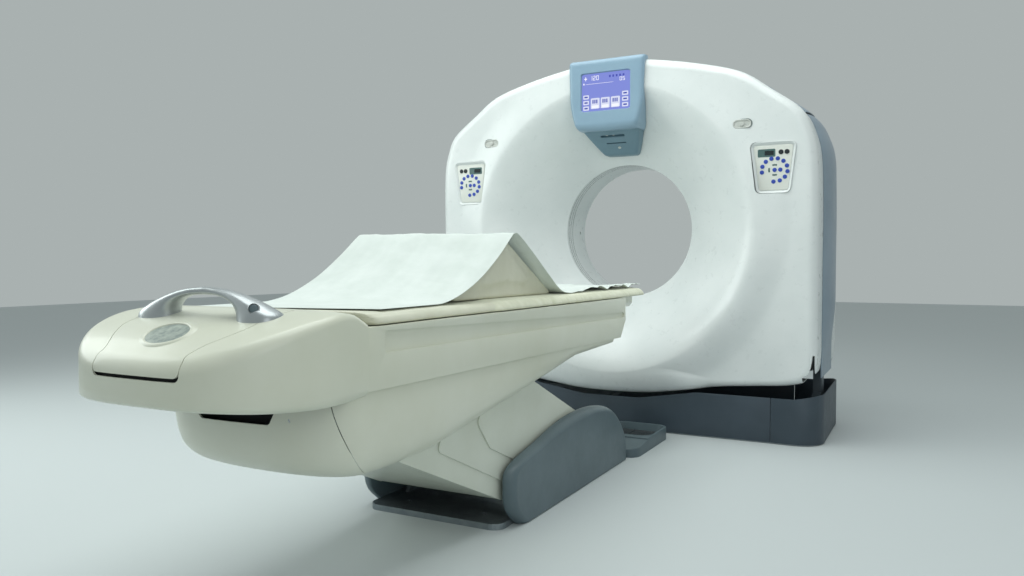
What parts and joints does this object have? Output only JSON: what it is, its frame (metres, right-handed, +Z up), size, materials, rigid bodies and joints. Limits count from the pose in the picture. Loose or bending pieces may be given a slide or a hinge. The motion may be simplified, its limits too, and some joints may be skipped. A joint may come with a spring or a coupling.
{
  "type": "ct scanner",
  "caption": "Ring-shaped tilting scanner gantry with a funnel bore and display pod, and a patient table on a parallelogram lift.",
  "frame": {"origin": "on the floor under the isocentre of the bore", "axes": "+X to the right seen from the table's foot end, +Y along the bore from the table to the gantry's rear, +Z up"},
  "size_m": [2.062, 3.562, 1.8902],
  "materials": {
    "white_cover": "smooth gloss",
    "pod_blue": "smooth satin",
    "chin_blue": "smooth satin",
    "side_grey": "satin",
    "slate": "satin",
    "ivory": "satin, slightly yellowed",
    "key_panel": "membrane keypad",
    "shoe_grey": "fine grain",
    "steel": "grey primer",
    "satin_steel": "satin",
    "copper": "windings",
    "dark": "fine grain",
    "screen": "lit panel",
    "cloth_pad": "coated cover",
    "sheet": "smooth woven",
    "foam": "coated foam",
    "carbon": "satin shell",
    "unit_grey": "satin"
  },
  "bodies": {
    "base": {"base_frame": "steel", "stand_left": "slate", "stand_right": "slate", "base_front_panel": "slate", "base_side_panels": "slate", "base_rear_panel": "slate", "floor_plate": "dark", "floor_pivot_pins": "satin_steel", "foot_shoe_left": "shoe_grey", "foot_shoe_right": "shoe_grey", "pedal_tray": "shoe_grey"},
    "gantry": {"tilt_frame": "steel", "trunnion_pins": "satin_steel", "front_cover": "white_cover", "rear_cover": "white_cover", "top_cover": "side_grey", "side_cover_left": "side_grey", "side_cover_right": "side_grey", "bore_liner": "white_cover", "display_pod": "pod_blue", "pod_chin": "chin_blue", "display_screen": "screen", "keypad_left": "key_panel", "keypad_right": "key_panel", "stop_bezels": "white_cover", "bearing_outer": "satin_steel", "drive_stator": "copper", "brush_block": "dark"},
    "stop_left": {"stop_button_left": "key_panel"},
    "stop_right": {"stop_button_right": "key_panel"},
    "rotor": {"rotor_disc": "steel", "bearing_inner": "satin_steel", "slip_ring": "copper", "xray_tube": "unit_grey", "collimator": "steel", "detector_arc": "unit_grey", "voltage_tanks": "unit_grey", "heat_exchangers": "unit_grey"},
    "pedal_up": {"pedal_up": "dark"},
    "pedal_down": {"pedal_down": "dark"},
    "upper_leg": {"upper_arm": "steel", "leg_cover_upper": "ivory"},
    "middle_leg": {"leg_cover_middle": "ivory"},
    "lower_leg": {"lower_arm": "steel", "leg_cover_lower": "ivory"},
    "table_top": {"table_frame": "steel", "rail_panel_left": "ivory", "rail_panel_right": "ivory", "foot_cover": "ivory", "foot_tongue": "ivory", "housing_cap": "ivory", "housing_sides": "ivory", "handle_arch": "satin_steel"},
    "release": {"release_button": "dark"},
    "carriage": {"carriage": "steel"},
    "cradle": {"cradle": "carbon", "mattress": "cloth_pad", "knee_wedge": "foam", "cover_sheet": "sheet"}
  },
  "joints": [
    {"name": "gantry_tilt", "type": "hinge", "parent": "base", "child": "gantry", "pos_m": [0, 0, 1.015], "axis": [-1, 0, 0], "range_deg": [-24, 24]},
    {"name": "rotor_spin", "type": "hinge", "parent": "gantry", "child": "rotor", "pos_m": [0, 0, 1.015], "axis": [0, 1, 0], "continuous": true},
    {"name": "stop_left_press", "type": "slide", "parent": "gantry", "child": "stop_left", "axis": [0, 0.9992, 0.0401], "range_m": [0, 0.004], "stiffness_N_per_m": 1500, "springref_m": -0.002},
    {"name": "stop_right_press", "type": "slide", "parent": "gantry", "child": "stop_right", "axis": [0, 0.9992, 0.0401], "range_m": [0, 0.004], "stiffness_N_per_m": 1500, "springref_m": -0.002},
    {"name": "pedal_up_press", "type": "hinge", "parent": "base", "child": "pedal_up", "pos_m": [0.148, -0.56, 0.034], "axis": [1, 0, 0], "range_deg": [0, 10], "stiffness_Nm_per_rad": 12, "springref_deg": -4.58},
    {"name": "pedal_down_press", "type": "hinge", "parent": "base", "child": "pedal_down", "pos_m": [0.248, -0.56, 0.034], "axis": [1, 0, 0], "range_deg": [0, 10], "stiffness_Nm_per_rad": 12, "springref_deg": -4.58},
    {"name": "table_lift", "type": "hinge", "parent": "base", "child": "upper_leg", "pos_m": [0, -1.23, 0.11], "axis": [-1, 0, 0], "range_deg": [-8, 16]},
    {"name": "middle_cover_slide", "type": "slide", "parent": "upper_leg", "child": "middle_leg", "axis": [0, 0.4067, 0.9135], "range_m": [-0.064, 0.033]},
    {"name": "lower_leg_turn", "type": "hinge", "parent": "base", "child": "lower_leg", "pos_m": [0, -1.75, 0.07], "axis": [-1, 0, 0], "range_deg": [-8.5, 16.5]},
    {"name": "table_level", "type": "hinge", "parent": "upper_leg", "child": "table_top", "pos_m": [0, -2.21663, 0.54928], "axis": [1, 0, 0], "range_deg": [-8.5, 16.5]},
    {"name": "cradle_slide", "type": "slide", "parent": "table_top", "child": "cradle", "axis": [0, 1, 0], "range_m": [0, 0.33]},
    {"name": "carriage_slide", "type": "slide", "parent": "table_top", "child": "carriage", "axis": [0, 1, 0], "range_m": [0, 0.17]},
    {"name": "release_press", "type": "slide", "parent": "table_top", "child": "release", "axis": [-0.5, 0, -0.866], "range_m": [0, 0.003], "stiffness_N_per_m": 1500, "springref_m": -0.002}
  ],
  "couplings": [
    {"joint": "middle_cover_slide", "follows": "table_lift", "m_per_rad": -0.22},
    {"joint": "lower_leg_turn", "follows": "table_lift", "ratio": 1},
    {"joint": "table_level", "follows": "table_lift", "ratio": 1},
    {"joint": "carriage_slide", "follows": "cradle_slide", "ratio": 0.5}
  ]
}
